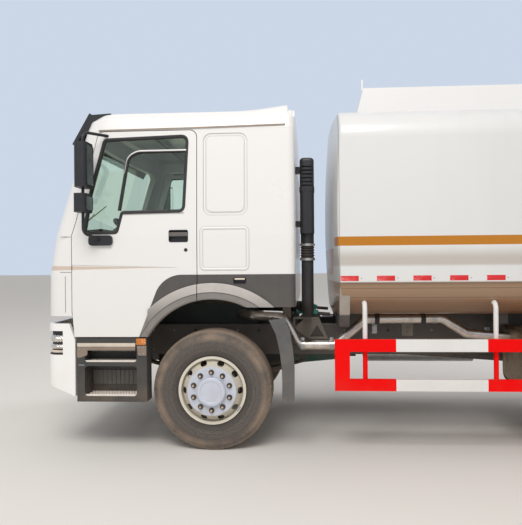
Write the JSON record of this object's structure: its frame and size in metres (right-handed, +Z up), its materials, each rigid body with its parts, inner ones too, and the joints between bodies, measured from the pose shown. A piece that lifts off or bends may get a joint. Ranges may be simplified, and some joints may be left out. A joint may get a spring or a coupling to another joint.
{
  "type": "tanker truck",
  "caption": "Three-axle cab-over road tanker with a long rounded-box tank, side guards, tilting cab, steering front wheels and twin rear wheels.",
  "frame": {"origin": "on the ground under the middle of the whole vehicle", "axes": "+X to the rear of the truck, +Y to its right-hand side, +Z up"},
  "size_m": [10.3, 3.04, 3.399],
  "materials": {
    "cab_paint": "gloss white cab paint",
    "tank_paint": "gloss white tank paint with an orange line",
    "trim_plastic": "charcoal moulded plastic",
    "dark_plastic": "dusty dark grey plastic",
    "guard_plastic": "grey moulded plastic",
    "rubber": "black ribbed rubber",
    "glass": "green tinted safety glass",
    "lamp": "clear lens over a chrome reflector",
    "tail_lamp": "red lens",
    "seat_fabric": "grey woven seat cloth",
    "dash_plastic": "grained dark grey plastic",
    "chassis_paint": "dark grey chassis paint, dusty",
    "spring_steel": "black painted spring steel",
    "engine_paint": "dull green casting paint",
    "exhaust_steel": "heat-stained steel tube",
    "silencer_steel": "tan, lightly rusted steel sheet",
    "tank_alloy": "brushed alloy",
    "guard_paint": "red and white gloss paint",
    "lid_alloy": "cast alloy",
    "galvanised": "galvanised steel",
    "pipe_steel": "painted steel pipe",
    "tyre": "dusty black rubber",
    "wheel_paint": "silver-cream wheel paint"
  },
  "bodies": {
    "chassis": {"frame_rails": "chassis_paint", "subframe": "chassis_paint", "front_axle": "chassis_paint", "drive_axles": "chassis_paint", "leaf_springs": "spring_steel", "propshafts": "chassis_paint", "engine_block": "engine_paint", "gearbox": "engine_paint", "exhaust_pipe": "exhaust_steel", "silencer": "silencer_steel", "fuel_tank": "tank_alloy", "battery_box": "dark_plastic", "air_tanks": "chassis_paint", "front_bumper": "cab_paint", "headlamps": "lamp", "cab_steps": "dark_plastic", "mudguards": "guard_plastic", "side_guards": "guard_paint", "tank_shell": "tank_paint", "tank_coaming": "tank_paint", "manhole_collar": "tank_paint", "ladder": "galvanised", "rear_bumper": "guard_paint", "rear_lamps": "tail_lamp", "discharge_pipe": "pipe_steel", "air_intake": "rubber", "cab_support": "chassis_paint"},
    "cab": {"cab_shell": "cab_paint", "arch_trims": "trim_plastic", "windscreen": "glass", "sun_visor": "dark_plastic", "snorkel": "dark_plastic", "seats": "seat_fabric", "sleeper_bunk": "seat_fabric", "dashboard": "dash_plastic"},
    "service_lid": {"front_lid": "cab_paint"},
    "door_left_body": {"door_left": "cab_paint", "door_trim_left": "trim_plastic", "door_glass_left": "glass", "mirror_left": "dark_plastic"},
    "door_right_body": {"door_right": "cab_paint", "door_trim_right": "trim_plastic", "door_glass_right": "glass", "mirror_right": "dark_plastic"},
    "steer_left_body": {"knuckle_left": "chassis_paint"},
    "steer_right_body": {"knuckle_right": "chassis_paint"},
    "track_rod_body": {"track_rod": "chassis_paint"},
    "manhole_lid_body": {"manhole_lid": "lid_alloy"},
    "front_left_wheel": {"front_tyre_left": "tyre", "front_wheel_left": "wheel_paint"},
    "front_right_wheel": {"front_tyre_right": "tyre", "front_wheel_right": "wheel_paint"},
    "middle_left_wheel": {"middle_tyre_left": "tyre", "middle_wheel_left": "wheel_paint"},
    "middle_right_wheel": {"middle_tyre_right": "tyre", "middle_wheel_right": "wheel_paint"},
    "rear_left_wheel": {"rear_tyre_left": "tyre", "rear_wheel_left": "wheel_paint"},
    "rear_right_wheel": {"rear_tyre_right": "tyre", "rear_wheel_right": "wheel_paint"}
  },
  "joints": [
    {"name": "cab_tilt", "type": "hinge", "parent": "chassis", "child": "cab", "pos_m": [-5.055, 0, 1.04], "axis": [0, -1, 0], "range_deg": [0, 50]},
    {"name": "service_lid_hinge", "type": "hinge", "parent": "cab", "child": "service_lid", "pos_m": [-5.11, 0, 1.858], "axis": [0, 1, 0], "range_deg": [0, 75]},
    {"name": "door_left_hinge", "type": "hinge", "parent": "cab", "child": "door_left_body", "pos_m": [-4.862, -1.236, 1.6], "axis": [0, 0, -1], "range_deg": [0, 70]},
    {"name": "door_right_hinge", "type": "hinge", "parent": "cab", "child": "door_right_body", "pos_m": [-4.862, 1.236, 1.6], "axis": [0, 0, 1], "range_deg": [0, 70]},
    {"name": "steer_left", "type": "hinge", "parent": "chassis", "child": "steer_left_body", "pos_m": [-3.65, -0.825, 0.535], "axis": [0, 0, 1], "range_deg": [-35, 35]},
    {"name": "steer_right", "type": "hinge", "parent": "chassis", "child": "steer_right_body", "pos_m": [-3.65, 0.825, 0.535], "axis": [0, 0, 1], "range_deg": [-35, 35]},
    {"name": "track_rod_pivot", "type": "hinge", "parent": "steer_left_body", "child": "track_rod_body", "pos_m": [-3.42, -0.825, 0.402], "axis": [0, 0, 1], "range_deg": [-35, 35]},
    {"name": "manhole_lid_hinge", "type": "hinge", "parent": "chassis", "child": "manhole_lid_body", "pos_m": [1.395, 0, 3.142], "axis": [0, 1, 0], "range_deg": [0, 100]},
    {"name": "front_left_wheel_spin", "type": "hinge", "parent": "steer_left_body", "child": "front_left_wheel", "pos_m": [-3.65, -1.011, 0.535], "axis": [0, 1, 0], "continuous": true},
    {"name": "front_right_wheel_spin", "type": "hinge", "parent": "steer_right_body", "child": "front_right_wheel", "pos_m": [-3.65, 1.011, 0.535], "axis": [0, 1, 0], "continuous": true},
    {"name": "middle_left_wheel_spin", "type": "hinge", "parent": "chassis", "child": "middle_left_wheel", "pos_m": [0.95, -0.915, 0.535], "axis": [0, 1, 0], "continuous": true},
    {"name": "middle_right_wheel_spin", "type": "hinge", "parent": "chassis", "child": "middle_right_wheel", "pos_m": [0.95, 0.915, 0.535], "axis": [0, 1, 0], "continuous": true},
    {"name": "rear_left_wheel_spin", "type": "hinge", "parent": "chassis", "child": "rear_left_wheel", "pos_m": [2.3, -0.915, 0.535], "axis": [0, 1, 0], "continuous": true},
    {"name": "rear_right_wheel_spin", "type": "hinge", "parent": "chassis", "child": "rear_right_wheel", "pos_m": [2.3, 0.915, 0.535], "axis": [0, 1, 0], "continuous": true}
  ],
  "couplings": [
    {"joint": "steer_right", "follows": "steer_left", "ratio": 1},
    {"joint": "track_rod_pivot", "follows": "steer_left", "ratio": -1}
  ]
}
